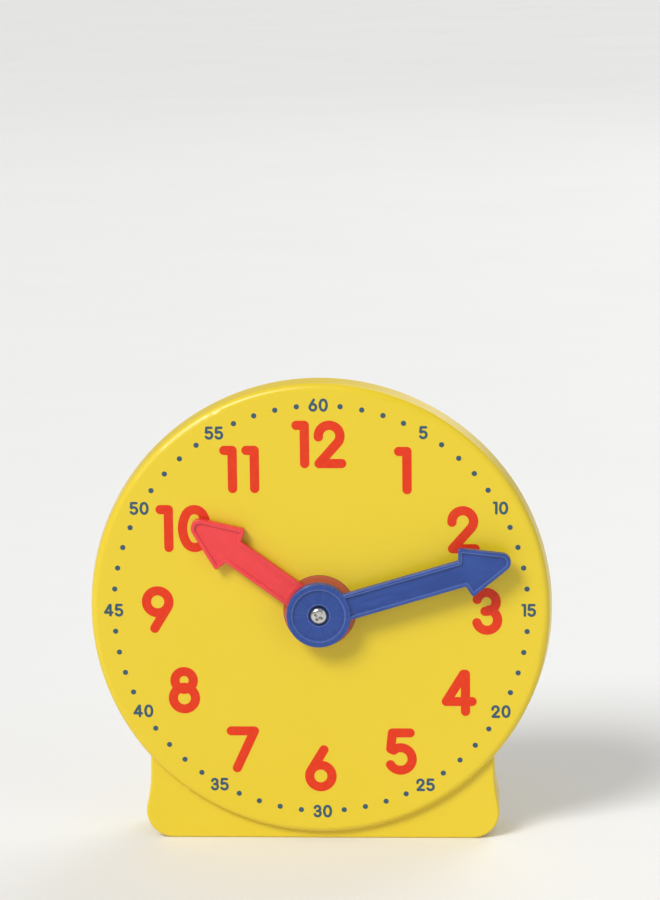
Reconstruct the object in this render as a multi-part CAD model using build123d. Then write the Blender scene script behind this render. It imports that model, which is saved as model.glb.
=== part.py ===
from build123d import *
import os
from math import acos, cos, pi, radians, sin, tan

# A small geared teaching clock: a two-shell case with a round dial on a flared plinth, a red hour hand and a
# blue minute hand, and a hidden gear train that turns the hour hand once for twelve turns of the minute hand.
#
# Each piece is modelled in clock coordinates: x to the right, y up from the hub's axis, z towards the viewer,
# with z = 0 on the dial's face. CLOCK_FRAME then stands the clock on its plinth, with +Z up and the face to -Y.

# Case
DIAL_DIAMETER = 101.6
DIAL_DRAFT = 0.6
DIAL_EDGE_RADIUS = 1.5
HUB_HEIGHT = 52.0
CASE_DEPTH = 19.8
FRONT_DEPTH = 5.5
WALL = 2.0
PARTING_STEP = 0.5
BACK_TAPER = 3.2
BACK_EDGE_RADIUS = 5.0
TONGUE_HEIGHT = 1.2
TONGUE_THICKNESS = 0.9
TONGUE_CLEARANCE = 0.15

# Plinth
PLINTH_SETBACK = 1.8
PLINTH_NECK_WIDTH = 76.0
PLINTH_NECK_HEIGHT = 16.0
PLINTH_FOOT_WIDTH = 83.0
PLINTH_CORNER_RADIUS = 6.0
PLINTH_FRONT_RADIUS = 0.5
PLINTH_BACK_RADIUS = 3.0

# Screws that hold the shells together, and their posts
SCREW_FROM_EDGE = 11.2
SCREW_ANGLE = radians(45)
SCREW_FROM_SIDE = 10.0
SCREW_FROM_FOOT = 14.0
SCREW_LENGTH = 8.0
SCREW_RADIUS = 1.0
SCREW_HEAD_RADIUS = 2.4
SCREW_HEAD_HEIGHT = 1.7
SCREW_CLEARANCE = 0.4
WELL_DEPTH = 8.0
WELL_FLOOR = 1.6
WELL_WALL = 1.4
POST_WALL = 2.2
RECESS_LENGTH = 2.4
RECESS_WIDTH = 0.65
RECESS_DEPTH = 0.8

# Hands, seen from the front
TIME_HOUR = 10
TIME_MINUTE = 12.25
MINUTE_LENGTH = 43.5
HOUR_LENGTH = 34.0
ARM_WIDTH = 5.8
HEAD_WIDTH = 11.2
HEAD_HALF_ANGLE = 22.8
HEAD_BACK_SLANT = 0.8
NOSE_RADIUS = 2.0
BARB_RADIUS = 0.5
RIM_WIDTH = 0.75
RIM_HEIGHT = 0.5
HAND_EDGE_RADIUS = 0.25

# Hour hand, from the dial's face outwards and inwards
HOUR_DISC_RADIUS = 7.9
HOUR_DISC_PROUD = 0.2
HOUR_BOSS_RADIUS = 6.0
HOUR_ARM_GAP = 0.6
HOUR_ARM_THICKNESS = 2.0
SPIGOT_RADIUS = 5.0
SPIGOT_FLAT = 4.3
COLLAR_HEIGHT = 1.0
COLLAR_WALL = 2.5

# Minute hand and its screw
HAND_GAP = 0.3
MINUTE_HUB_RADIUS = 7.05
MINUTE_HUB_THICKNESS = 2.4
MINUTE_HUB_RIM = 1.3
MINUTE_ARM_RISE = 0.3
MINUTE_ARM_THICKNESS = 1.8
SOCKET_WALL = 1.2
SOCKET_DEPTH = 2.5
SCREW_SEAT_DEPTH = 1.3
SCREW_SEAT_RADIUS = 2.35
HAND_SCREW_HEAD_RADIUS = 1.9
HAND_SCREW_HEAD_HEIGHT = 1.6
HAND_SCREW_RADIUS = 0.9
HAND_SCREW_LENGTH = 5.5
HAND_SCREW_CLEARANCE = 0.25

# Gear train
MODULE = 0.7
PRESSURE_ANGLE = radians(20)
PINION_SHIFT = 0.3
DEDENDUM = 1.25
BACKLASH = 0.16
ARBOR_TEETH = 15
INTERMEDIATE_TEETH = 45
INTERMEDIATE_PINION_TEETH = 12
HOUR_TEETH = 48
WHEEL_WIDTH = 2.2
PINION_OVERLAP = 0.3
WEB_THICKNESS = 1.2
GEAR_RIM = 2.0
GEAR_HUB_WALL = 2.2
ARBOR_RADIUS = 3.0
ARBOR_FLAT = 2.3
JOURNAL_RADIUS = 2.5
JOURNAL_LENGTH = 4.5
BEARING_WALL = 2.6
AXLE_RADIUS = 1.5
AXLE_GRIP = 1.8
AXLE_REAR_GRIP = 4.0
AXLE_BOSS_HEIGHT = 0.8
AXLE_BOSS_WALL = 1.8
WASHER_RADIUS = 4.6
WASHER_THICKNESS = 0.5

# Clearances
RUNNING_CLEARANCE = 0.06
DISC_CLEARANCE = 0.1
SEAT_CLEARANCE = 0.02
END_PLAY = 0.2
WASHER_GAP = 0.05

# Radii and depths that follow from these
CASE_RADIUS = DIAL_DIAMETER / 2
FACE_RADIUS = CASE_RADIUS - DIAL_DRAFT
BACK_RADIUS = CASE_RADIUS - PARTING_STEP
PARTING = -FRONT_DEPTH
BACK = -CASE_DEPTH
PLINTH_BOTTOM = -HUB_HEIGHT
POST_JOINT = BACK + WELL_DEPTH + WELL_FLOOR

HOUR_ARM_TOP = HOUR_ARM_GAP + HOUR_ARM_THICKNESS
COLLAR_END = -WALL - COLLAR_HEIGHT
HOUR_WHEEL_FRONT = COLLAR_END - END_PLAY
HOUR_WHEEL_BACK = HOUR_WHEEL_FRONT - WHEEL_WIDTH
ARBOR_PINION_FRONT = HOUR_WHEEL_BACK - END_PLAY
INTERMEDIATE_FRONT = ARBOR_PINION_FRONT - PINION_OVERLAP
INTERMEDIATE_BACK = INTERMEDIATE_FRONT - WHEEL_WIDTH
ARBOR_PINION_BACK = INTERMEDIATE_BACK - PINION_OVERLAP
WASHER_FRONT = ARBOR_PINION_BACK - WASHER_GAP
BEARING_END = WASHER_FRONT - WASHER_THICKNESS
JOURNAL_END = ARBOR_PINION_BACK - JOURNAL_LENGTH
AXLE_BOSS_END = -WALL - AXLE_BOSS_HEIGHT
INTERMEDIATE_PINION_FRONT = AXLE_BOSS_END - END_PLAY
AXLE_REAR_BOSS_END = INTERMEDIATE_BACK - END_PLAY
AXLE_FRONT = AXLE_BOSS_END + AXLE_GRIP
AXLE_BACK = AXLE_REAR_BOSS_END - AXLE_REAR_GRIP

MINUTE_HUB_BACK = HOUR_ARM_TOP + HAND_GAP
MINUTE_HUB_FRONT = MINUTE_HUB_BACK + MINUTE_HUB_THICKNESS
MINUTE_ARM_BACK = MINUTE_HUB_BACK + MINUTE_ARM_RISE
SCREW_SEAT = MINUTE_HUB_FRONT - SCREW_SEAT_DEPTH
ARBOR_FRONT = MINUTE_HUB_BACK
SOCKET_BACK = ARBOR_FRONT - SOCKET_DEPTH
SOCKET_RADIUS = ARBOR_RADIUS + SOCKET_WALL
STACK_TOP = SCREW_SEAT + HAND_SCREW_HEAD_HEIGHT

GEAR_CENTRES = MODULE * (ARBOR_TEETH + INTERMEDIATE_TEETH) / 2
INTERMEDIATE_PLACE = Pos(0, -GEAR_CENTRES, 0)
TOOTH_DOWN = -pi / 2
TOOTH_UP = pi / 2

MINUTE_TURN = Rot(0, 0, -6 * TIME_MINUTE)
HOUR_TURN = Rot(0, 0, -30 * (TIME_HOUR + TIME_MINUTE / 60))
SCREW_CIRCLE = CASE_RADIUS - SCREW_FROM_EDGE
UPPER_SCREW = (SCREW_CIRCLE * cos(SCREW_ANGLE), SCREW_CIRCLE * sin(SCREW_ANGLE))
LOWER_SCREW = (PLINTH_NECK_WIDTH / 2 - SCREW_FROM_SIDE, PLINTH_BOTTOM + SCREW_FROM_FOOT)
SCREW_PLACES = [Pos(side * x, y, 0) for side in (-1, 1) for x, y in (UPPER_SCREW, LOWER_SCREW)]
CLOCK_FRAME = Plane(
    origin=(0, (STACK_TOP - CASE_DEPTH) / 2, HUB_HEIGHT),
    x_dir=(1, 0, 0),
    z_dir=(0, -1, 0),
)


# Building blocks
def between(face, front, back):
    """The flat outline `face`, made solid from height `back` up to height `front`."""
    return Pos(0, 0, back) * extrude(face, front - back)


def disc(radius, front, back):
    """A round solid about the hub's axis."""
    return between(Circle(radius), front, back)


def turned(*points):
    """A solid of revolution about the hub's axis, from (radius, height) corners."""
    return revolve(Plane.XZ * make_face(Polyline(*points, close=True)), Axis.Z)


def flatted(radius, flat):
    """A circle with one flat at distance `flat` from its centre, on the side away from the hand's point."""
    kept = Pos(0, (radius - flat) / 2) * Rectangle(2 * radius, radius + flat)
    return Circle(radius) & kept


# Case
def plinth_outline(inset=0.0):
    """The plinth seen from the front, up to the hub's level behind the dial, drawn in by `inset`."""
    neck = PLINTH_NECK_WIDTH / 2
    foot = PLINTH_FOOT_WIDTH / 2
    neck_line = PLINTH_BOTTOM + PLINTH_NECK_HEIGHT
    hidden_line = 0
    right_flare = TangentArc((neck, neck_line), (foot, PLINTH_BOTTOM), tangent=(0, -1))
    left_flare = TangentArc((-neck, neck_line), (-foot, PLINTH_BOTTOM), tangent=(0, -1))
    outline = make_face(
        [
            Line((-neck, hidden_line), (neck, hidden_line)),
            Line((neck, hidden_line), (neck, neck_line)),
            right_flare,
            Line((foot, PLINTH_BOTTOM), (-foot, PLINTH_BOTTOM)),
            left_flare,
            Line((-neck, neck_line), (-neck, hidden_line)),
        ]
    )
    outline = fillet(outline.vertices().group_by(Axis.Y)[0], PLINTH_CORNER_RADIUS)
    return offset(outline, -inset) if inset else outline


def case_outline(radius, inset):
    """The whole case seen from the front: a round of `radius` and the plinth drawn in by `inset`."""
    return Circle(radius) + plinth_outline(inset)


def front_shell():
    """The dial pan and the front of the plinth, with posts, collar and axle boss inside."""
    pan = turned((0, 0), (FACE_RADIUS, 0), (CASE_RADIUS, PARTING), (0, PARTING))
    pan = fillet(pan.edges().group_by(Axis.Z)[-1], DIAL_EDGE_RADIUS)
    plinth = between(plinth_outline(), -PLINTH_SETBACK, PARTING)
    plinth = fillet(plinth.edges().group_by(Axis.Z)[-1], PLINTH_FRONT_RADIUS)
    shell = pan + plinth
    shell -= disc(FACE_RADIUS - WALL, -WALL, PARTING)
    shell -= between(plinth_outline(WALL), -PLINTH_SETBACK - WALL, PARTING)
    groove = WALL - TONGUE_THICKNESS - TONGUE_CLEARANCE
    groove_floor = PARTING + TONGUE_HEIGHT + TONGUE_CLEARANCE
    shell -= between(case_outline(BACK_RADIUS - groove, groove), groove_floor, PARTING)
    for place in SCREW_PLACES:
        post = disc(SCREW_RADIUS + POST_WALL, -WALL / 2, POST_JOINT)
        shell += place * post
    shell += disc(HOUR_DISC_RADIUS + DISC_CLEARANCE + COLLAR_WALL, -WALL / 2, COLLAR_END)
    shell += INTERMEDIATE_PLACE * disc(AXLE_RADIUS + AXLE_BOSS_WALL, -WALL / 2, AXLE_BOSS_END)
    for place in SCREW_PLACES:
        pilot_end = BACK + WELL_DEPTH + SCREW_LENGTH + END_PLAY
        shell -= place * disc(SCREW_RADIUS + SEAT_CLEARANCE, pilot_end, POST_JOINT)
    shell -= disc(HOUR_DISC_RADIUS + DISC_CLEARANCE, 0, COLLAR_END)
    shell -= INTERMEDIATE_PLACE * disc(AXLE_RADIUS + SEAT_CLEARANCE, AXLE_FRONT, AXLE_BOSS_END)
    return shell


def back_shell():
    """The rear pan and the rest of the plinth, with the tongue, the screw wells and two bearing bosses."""
    rear_radius = BACK_RADIUS - BACK_TAPER
    pan = turned((0, PARTING), (BACK_RADIUS, PARTING), (rear_radius, BACK), (0, BACK))
    pan = fillet(pan.edges().group_by(Axis.Z)[0], BACK_EDGE_RADIUS)
    plinth = between(plinth_outline(), PARTING, BACK)
    plinth = fillet(plinth.edges().group_by(Axis.Z)[0], PLINTH_BACK_RADIUS)
    hollow_back = BACK + WALL
    hollow = turned(
        (0, PARTING), (BACK_RADIUS - WALL, PARTING), (rear_radius - WALL, hollow_back), (0, hollow_back)
    )
    hollow = fillet(hollow.edges().group_by(Axis.Z)[0], BACK_EDGE_RADIUS - WALL)
    plinth_hollow = between(plinth_outline(WALL), PARTING, hollow_back)
    shell = pan + plinth - hollow - plinth_hollow
    outer = WALL - TONGUE_THICKNESS
    tongue = case_outline(BACK_RADIUS - outer, outer) - case_outline(BACK_RADIUS - WALL, WALL)
    shell += between(tongue, PARTING + TONGUE_HEIGHT, PARTING)
    well_radius = SCREW_HEAD_RADIUS + SCREW_CLEARANCE
    for place in SCREW_PLACES:
        shell += place * disc(well_radius + WELL_WALL, POST_JOINT, BACK + WALL / 2)
        shell -= place * disc(well_radius, BACK + WELL_DEPTH, BACK)
        shell -= place * disc(SCREW_RADIUS + SCREW_CLEARANCE, POST_JOINT, BACK + WELL_DEPTH)
    shell += disc(JOURNAL_RADIUS + BEARING_WALL, BEARING_END, BACK + WALL / 2)
    shell -= disc(JOURNAL_RADIUS + RUNNING_CLEARANCE, BEARING_END, JOURNAL_END - END_PLAY)
    boss = disc(AXLE_RADIUS + AXLE_BOSS_WALL, AXLE_REAR_BOSS_END, BACK + WALL / 2)
    socket = disc(AXLE_RADIUS + SEAT_CLEARANCE, AXLE_REAR_BOSS_END, AXLE_BACK - END_PLAY)
    return shell + INTERMEDIATE_PLACE * boss - INTERMEDIATE_PLACE * socket


# Screws
def pan_screw(shank, length, head, head_height):
    """A pan-head screw along z, with the seat of its head at z = 0 and a cross recess in the top."""
    cap = disc(head, head_height, 0)
    cap = fillet(cap.edges().group_by(Axis.Z)[-1], head_height / 2)
    slot = Rectangle(RECESS_LENGTH, RECESS_WIDTH)
    cross = slot + Rot(0, 0, 90) * slot
    return cap - between(cross, head_height, head_height - RECESS_DEPTH) + disc(shank, 0, -length)


def shell_screws():
    """The four screws in the wells of the back, as separate solids."""
    screw = pan_screw(SCREW_RADIUS, SCREW_LENGTH, SCREW_HEAD_RADIUS, SCREW_HEAD_HEIGHT)
    facing_back = Pos(0, 0, BACK + WELL_DEPTH) * Rot(180, 0, 0)
    return Compound(children=[place * facing_back * screw for place in SCREW_PLACES])


def hand_screw():
    """The screw that holds the minute hand to its arbor."""
    screw = pan_screw(
        HAND_SCREW_RADIUS, HAND_SCREW_LENGTH, HAND_SCREW_HEAD_RADIUS, HAND_SCREW_HEAD_HEIGHT
    )
    return MINUTE_TURN * Pos(0, 0, SCREW_SEAT) * screw


# Hands
def arrow_outline(length):
    """An arm with a round-nosed arrowhead, from the hub's axis along +y to `length`."""
    arm = ARM_WIDTH / 2
    barb = HEAD_WIDTH / 2
    half_angle = radians(HEAD_HALF_ANGLE)
    apex = length + NOSE_RADIUS / sin(half_angle) - NOSE_RADIUS
    barb_line = apex - barb / tan(half_angle)
    notch_line = barb_line - HEAD_BACK_SLANT
    outline = make_face(
        Polyline(
            (-arm, 0),
            (-arm, notch_line),
            (-barb, barb_line),
            (0, apex),
            (barb, barb_line),
            (arm, notch_line),
            (arm, 0),
            close=True,
        )
    )
    outline = fillet(outline.vertices().group_by(Axis.Y)[-1], NOSE_RADIUS)
    across = outline.vertices().sort_by(Axis.X)
    return fillet([across[0], across[-1]], BARB_RADIUS)


def hand_plate(length, hub_radius, back, thickness):
    """The arm and arrowhead of a hand, with a rim left standing round a sunk floor."""
    outline = arrow_outline(length)
    front = back + thickness
    plate = between(outline, front, back)
    plate = fillet(plate.edges().group_by(Axis.Z)[-1], HAND_EDGE_RADIUS)
    floor = offset(outline, -RIM_WIDTH) - Circle(hub_radius)
    return plate - between(floor, front, front - RIM_HEIGHT)


def hour_hand():
    """The red hand: arm, disc that fills the dial's hole, and the tube that carries the hour wheel."""
    hand = hand_plate(HOUR_LENGTH, HOUR_DISC_RADIUS, HOUR_ARM_GAP, HOUR_ARM_THICKNESS)
    hand += disc(HOUR_BOSS_RADIUS, HOUR_ARM_TOP, 0)
    hand += disc(HOUR_DISC_RADIUS, HOUR_DISC_PROUD, HOUR_WHEEL_FRONT)
    hand += between(flatted(SPIGOT_RADIUS, SPIGOT_FLAT), HOUR_WHEEL_FRONT, HOUR_WHEEL_BACK)
    hand -= disc(SOCKET_RADIUS + HAND_GAP, HOUR_ARM_TOP, SOCKET_BACK - HAND_GAP)
    hand -= disc(ARBOR_RADIUS + RUNNING_CLEARANCE, HOUR_ARM_TOP, HOUR_WHEEL_BACK)
    return HOUR_TURN * hand


def minute_hand():
    """The blue hand: arm, rimmed hub with the screw's seat, and the keyed socket behind it."""
    hand = hand_plate(MINUTE_LENGTH, MINUTE_HUB_RADIUS, MINUTE_ARM_BACK, MINUTE_ARM_THICKNESS)
    hub = disc(MINUTE_HUB_RADIUS, MINUTE_HUB_FRONT, MINUTE_HUB_BACK)
    hub = fillet(hub.edges().group_by(Axis.Z)[-1], HAND_EDGE_RADIUS)
    hand += hub
    hand -= disc(MINUTE_HUB_RADIUS - MINUTE_HUB_RIM, MINUTE_HUB_FRONT, MINUTE_HUB_FRONT - RIM_HEIGHT)
    hand -= disc(SCREW_SEAT_RADIUS, MINUTE_HUB_FRONT, SCREW_SEAT)
    hand -= disc(HAND_SCREW_RADIUS + HAND_SCREW_CLEARANCE, SCREW_SEAT, MINUTE_HUB_BACK)
    sleeve = disc(SOCKET_RADIUS, MINUTE_HUB_BACK, SOCKET_BACK)
    key = flatted(ARBOR_RADIUS + SEAT_CLEARANCE, ARBOR_FLAT + SEAT_CLEARANCE)
    hand += sleeve - between(key, ARBOR_FRONT, SOCKET_BACK)
    return MINUTE_TURN * hand


# Gear train
def gear_outline(teeth, shift, first_tooth):
    """A spur gear's outline, with one tooth centred on the angle `first_tooth`.

    The pinions are shifted outwards and the wheels inwards by the same amount, so that no tooth is undercut
    and the centres stay at the plain distance. Each flank is an arc through three points of its involute.
    """
    pitch = MODULE * teeth / 2
    base = pitch * cos(PRESSURE_ANGLE)
    tip = pitch + MODULE * (1 + shift)
    root = pitch - MODULE * (DEDENDUM - shift)
    middle = (root + tip) / 2
    tooth_at_pitch = MODULE * (pi / 2 + 2 * shift * tan(PRESSURE_ANGLE)) - BACKLASH / 2
    tooth_at_base = tooth_at_pitch / (2 * pitch) + tan(PRESSURE_ANGLE) - PRESSURE_ANGLE
    step = 2 * pi / teeth

    def half_tooth(radius):
        roll = acos(min(1, base / radius))
        return tooth_at_base - tan(roll) + roll

    def point(radius, angle):
        return (radius * cos(angle), radius * sin(angle))

    edges = []
    for n in range(teeth):
        centre = first_tooth + n * step
        rising = [point(r, centre - half_tooth(r)) for r in (root, middle, tip)]
        falling = [point(r, centre + half_tooth(r)) for r in (tip, middle, root)]
        next_root = point(root, centre + step - half_tooth(root))
        edges.append(ThreePointArc(*rising))
        edges.append(ThreePointArc(rising[-1], point(tip, centre), falling[0]))
        edges.append(ThreePointArc(*falling))
        edges.append(ThreePointArc(falling[-1], point(root, centre + step / 2), next_root))
    return make_face(edges)


def wheel(teeth, first_tooth, hub_radius, front):
    """A large gear with a rim, a thinner web and a hub, from height `front` backwards."""
    back = front - WHEEL_WIDTH
    sunk = (WHEEL_WIDTH - WEB_THICKNESS) / 2
    rim_inside = MODULE * (teeth / 2 - DEDENDUM - PINION_SHIFT) - GEAR_RIM
    pocket = Circle(rim_inside) - Circle(hub_radius)
    gear = between(gear_outline(teeth, -PINION_SHIFT, first_tooth), front, back)
    return gear - between(pocket, front, front - sunk) - between(pocket, back + sunk, back)


def hour_wheel():
    """The wheel on the hour hand's tube, with a gap of its teeth facing the intermediate pinion."""
    gap_down = TOOTH_DOWN + pi / HOUR_TEETH
    gear = wheel(HOUR_TEETH, gap_down, SPIGOT_RADIUS + GEAR_HUB_WALL, HOUR_WHEEL_FRONT)
    bore = flatted(SPIGOT_RADIUS + SEAT_CLEARANCE, SPIGOT_FLAT + SEAT_CLEARANCE)
    return gear - HOUR_TURN * between(bore, HOUR_WHEEL_FRONT, HOUR_WHEEL_BACK)


def intermediate_gear():
    """The compound gear: a wheel driven by the arbor, and a pinion in front that drives the hour wheel."""
    gap_up = TOOTH_UP + pi / INTERMEDIATE_TEETH
    hub_radius = AXLE_RADIUS + GEAR_HUB_WALL
    gear = wheel(INTERMEDIATE_TEETH, gap_up, hub_radius, INTERMEDIATE_FRONT)
    pinion = gear_outline(INTERMEDIATE_PINION_TEETH, PINION_SHIFT, TOOTH_UP)
    gear += between(pinion, INTERMEDIATE_PINION_FRONT, INTERMEDIATE_FRONT - WHEEL_WIDTH / 2)
    gear -= disc(AXLE_RADIUS + RUNNING_CLEARANCE, INTERMEDIATE_PINION_FRONT, INTERMEDIATE_BACK)
    return INTERMEDIATE_PLACE * gear


def minute_arbor():
    """The shaft behind the minute hand: keyed front end, plain bearing, pinion and rear journal."""
    arbor = MINUTE_TURN * between(flatted(ARBOR_RADIUS, ARBOR_FLAT), ARBOR_FRONT, SOCKET_BACK)
    arbor += disc(ARBOR_RADIUS, SOCKET_BACK, ARBOR_PINION_FRONT)
    pinion = gear_outline(ARBOR_TEETH, PINION_SHIFT, TOOTH_DOWN)
    arbor += between(pinion, ARBOR_PINION_FRONT, ARBOR_PINION_BACK)
    arbor += disc(JOURNAL_RADIUS, ARBOR_PINION_BACK, JOURNAL_END)
    pilot_end = SCREW_SEAT - HAND_SCREW_LENGTH - END_PLAY
    return arbor - disc(HAND_SCREW_RADIUS + SEAT_CLEARANCE, ARBOR_FRONT, pilot_end)


def intermediate_axle():
    """The steel pin between the two shells that the intermediate gear turns on."""
    pin = disc(AXLE_RADIUS, AXLE_FRONT - SEAT_CLEARANCE, AXLE_BACK)
    return INTERMEDIATE_PLACE * pin


def friction_washer():
    """The washer between the rear bearing and the arbor's pinion."""
    ring = Circle(WASHER_RADIUS) - Circle(JOURNAL_RADIUS + RUNNING_CLEARANCE)
    return between(ring, WASHER_FRONT, BEARING_END)


PIECES = [
    front_shell,
    back_shell,
    shell_screws,
    hour_hand,
    hour_wheel,
    minute_hand,
    minute_arbor,
    hand_screw,
    intermediate_gear,
    intermediate_axle,
    friction_washer,
]

os.makedirs("parts", exist_ok=True)
for piece in PIECES:
    name = piece.__name__
    export_step(CLOCK_FRAME * piece(), f"parts/{name}.step")
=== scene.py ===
"""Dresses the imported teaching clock: its print, its screws, its finishes, the studio and the camera."""

import logging
import math
from dataclasses import dataclass, field
from enum import Enum
from typing import ClassVar

import bmesh
import bpy
from mathutils import Matrix, Quaternion, Vector


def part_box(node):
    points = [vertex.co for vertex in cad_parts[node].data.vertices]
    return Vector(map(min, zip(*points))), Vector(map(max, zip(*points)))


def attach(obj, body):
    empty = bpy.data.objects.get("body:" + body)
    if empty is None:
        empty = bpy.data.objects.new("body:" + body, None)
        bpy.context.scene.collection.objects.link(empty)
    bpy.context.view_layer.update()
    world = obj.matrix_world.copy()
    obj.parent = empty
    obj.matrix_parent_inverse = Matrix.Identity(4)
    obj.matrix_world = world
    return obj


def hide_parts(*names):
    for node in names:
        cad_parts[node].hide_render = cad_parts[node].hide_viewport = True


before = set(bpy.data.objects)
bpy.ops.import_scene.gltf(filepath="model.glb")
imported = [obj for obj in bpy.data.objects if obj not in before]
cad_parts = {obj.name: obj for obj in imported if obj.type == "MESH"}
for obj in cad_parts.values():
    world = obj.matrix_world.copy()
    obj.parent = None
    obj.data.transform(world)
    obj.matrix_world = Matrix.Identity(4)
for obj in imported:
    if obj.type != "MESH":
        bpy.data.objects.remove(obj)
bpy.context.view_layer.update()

LOG = logging.getLogger("teaching_clock")
MM = 0.001
FULL_TURN = math.tau
# The longest edge, in drawn millimetres, that a join of two meshes leaves as a sliver
SLIVER = 0.002
# An edge this short has no length
NO_LENGTH = SLIVER / 4
MINUTES = 60
LABEL_EVERY = 5
MINUTE_ANGLE = 360 / MINUTES
# The colour mix node's sockets for its mask, its two colours and its result
MIX_INPUTS = (0, 6, 7)
MIX_RESULT = 2

Point = tuple[float, float]
Triple = tuple[float, float, float]
Colour = tuple[float, float, float, float]
BMesh = bmesh.types.BMesh
Mesh = bpy.types.Mesh
Material = bpy.types.Material
Object = bpy.types.Object
Socket = bpy.types.NodeSocket
Setting = Socket | float | tuple[float, ...]


class Body(Enum):
    """The moving bodies that a new piece can ride on."""

    CASE = "case"
    MINUTE = "minute_train"


class Slot(Enum):
    """The record's material slots for the hands and the screws' steel."""

    RED = "hand_red"
    BLUE = "hand_blue"
    STEEL = "screw_steel"


class SocketKind(Enum):
    """The kinds of value that a node group takes in or puts out."""

    VALUE = "NodeSocketFloat"
    COLOUR = "NodeSocketColor"
    VECTOR = "NodeSocketVector"


# The dial's own coordinates
@dataclass(frozen=True)
class DialFrame:
    """Dial coordinates in millimetres: x to the right, y up from the hub and z out of the face."""

    face: float
    hub_height: float

    @classmethod
    def from_case(cls) -> "DialFrame":
        """Reads the face and the hub from the front shell's box, whose width and top are the dial's."""
        low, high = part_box("front_shell")
        return cls(face=low.y, hub_height=high.z - (high.x - low.x) / 2)

    def to_row(self) -> Matrix:
        """Gives the matrix from dial millimetres to metres in the row's frame."""
        stood_up = Matrix.Rotation(math.radians(90), 4, "X")
        return Matrix.Translation((0, self.face, self.hub_height)) @ stood_up @ Matrix.Scale(MM, 4)

    def depth(self, row_y: float) -> float:
        """Gives the dial's z, in millimetres, of a row Y in metres."""
        return (self.face - row_y) / MM


# Meshes
def mesh_from(shape: BMesh, name: str) -> Mesh:
    """Turns a finished bmesh into a mesh and frees it.

    Args:
        shape: The bmesh, closed, with its place in its vertices.
        name: The mesh's name.

    Returns:
        The new mesh.
    """
    bmesh.ops.recalc_face_normals(shape, faces=shape.faces[:])
    mesh = bpy.data.meshes.new(name)
    shape.to_mesh(mesh)
    shape.free()
    return mesh


def link(name: str, data: Mesh | bpy.types.Light | bpy.types.Camera) -> Object:
    """Puts a mesh, a lamp or a camera into the scene as an object at the origin.

    Args:
        name: The object's name.
        data: What it shows.

    Returns:
        The new object.
    """
    made = bpy.data.objects.new(name, data)
    bpy.context.scene.collection.objects.link(made)
    return made


def add_placed(shape: BMesh, mesh: Mesh, place: Matrix) -> None:
    """Adds a copy of a mesh to a bmesh at a place.

    Args:
        shape: The bmesh that the copy goes into.
        mesh: The mesh to copy, which stays as it is.
        place: The matrix that puts the copy in its place.
    """
    copy = mesh.copy()
    copy.transform(place)
    shape.from_mesh(copy)
    bpy.data.meshes.remove(copy)


def combined(base: Mesh, tool: Mesh, operation: str) -> Mesh:
    """Joins or cuts two meshes, and their own overlaps, into one clean mesh.

    Args:
        base: The mesh that is kept or cut.
        tool: The mesh that is added or taken away.
        operation: Blender's name for it, UNION or DIFFERENCE.

    Returns:
        A new mesh; the two given are removed.
    """
    base_object = link("base", base)
    tool_object = link("tool", tool)
    modifier = base_object.modifiers.new("combine", "BOOLEAN")
    modifier.object = tool_object
    modifier.operation = operation
    modifier.solver = "EXACT"
    modifier.use_self = True
    evaluated = base_object.evaluated_get(bpy.context.evaluated_depsgraph_get())
    result = bpy.data.meshes.new_from_object(evaluated)
    shape = bmesh.new()
    shape.from_mesh(result)
    bmesh.ops.remove_doubles(shape, verts=shape.verts[:], dist=SLIVER)
    bmesh.ops.dissolve_degenerate(shape, edges=shape.edges[:], dist=NO_LENGTH)
    shape.to_mesh(result)
    shape.free()
    for scratch in (base_object, tool_object):
        mesh = scratch.data
        bpy.data.objects.remove(scratch)
        bpy.data.meshes.remove(mesh)
    return result


def fit_out(
    name: str, mesh: Mesh, material: Material, body: Body
) -> Object:
    """Makes a piece of a mesh, gives it its finish, and says what it rides on.

    Args:
        name: The piece's name.
        mesh: Its mesh, in the row's frame.
        material: Its finish.
        body: The body that it moves with.

    Returns:
        The finished piece.
    """
    mesh.materials.clear()
    mesh.materials.append(material)
    piece = link(name, mesh)
    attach(piece, body.value)
    LOG.info("%s: %d faces, on %s", name, len(mesh.polygons), body.value)
    return piece


# Strokes of the printed numbers
@dataclass(frozen=True)
class Bar:
    """A straight stroke with round ends."""

    start: Point
    end: Point

    def draw(self, shape: BMesh, pen: "Pen") -> None:
        """Draws the stroke as the hull of the circles at its ends.

        Args:
            shape: The bmesh that the stroke goes into.
            pen: The pen that draws it.
        """
        corners: list[bmesh.types.BMVert] = []
        for x, y in (self.start, self.end):
            for z in (0, 1):
                spot = Matrix.Translation((x, y, z))
                circle = bmesh.ops.create_circle(
                    shape, segments=pen.round_segments, radius=pen.width / 2, matrix=spot
                )
                corners += circle["verts"]
        hull = bmesh.ops.convex_hull(shape, input=corners)
        bmesh.ops.delete(shape, geom=hull["geom_interior"], context="VERTS")


@dataclass(frozen=True)
class Bow:
    """A stroke along a circle, with a round end where it has one; a negative sweep runs clockwise."""

    centre: Point
    radius: float
    start: float
    sweep: float
    round_end: bool = True

    def at(self, angle: float) -> Point:
        """Gives the point of the circle at an angle in degrees."""
        turn = math.radians(angle)
        return (self.centre[0] + self.radius * math.cos(turn), self.centre[1] + self.radius * math.sin(turn))

    def draw(self, shape: BMesh, pen: "Pen") -> None:
        """Sweeps the pen's section round the centre, and rounds the ends that no stroke joins.

        Args:
            shape: The bmesh that the stroke goes into.
            pen: The pen that draws it.
        """
        pen.swept(shape, (self,))
        pen.dot(shape, self.at(self.start), self.start)
        if self.round_end:
            pen.dot(shape, self.at(self.start + self.sweep), self.start + self.sweep)


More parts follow.
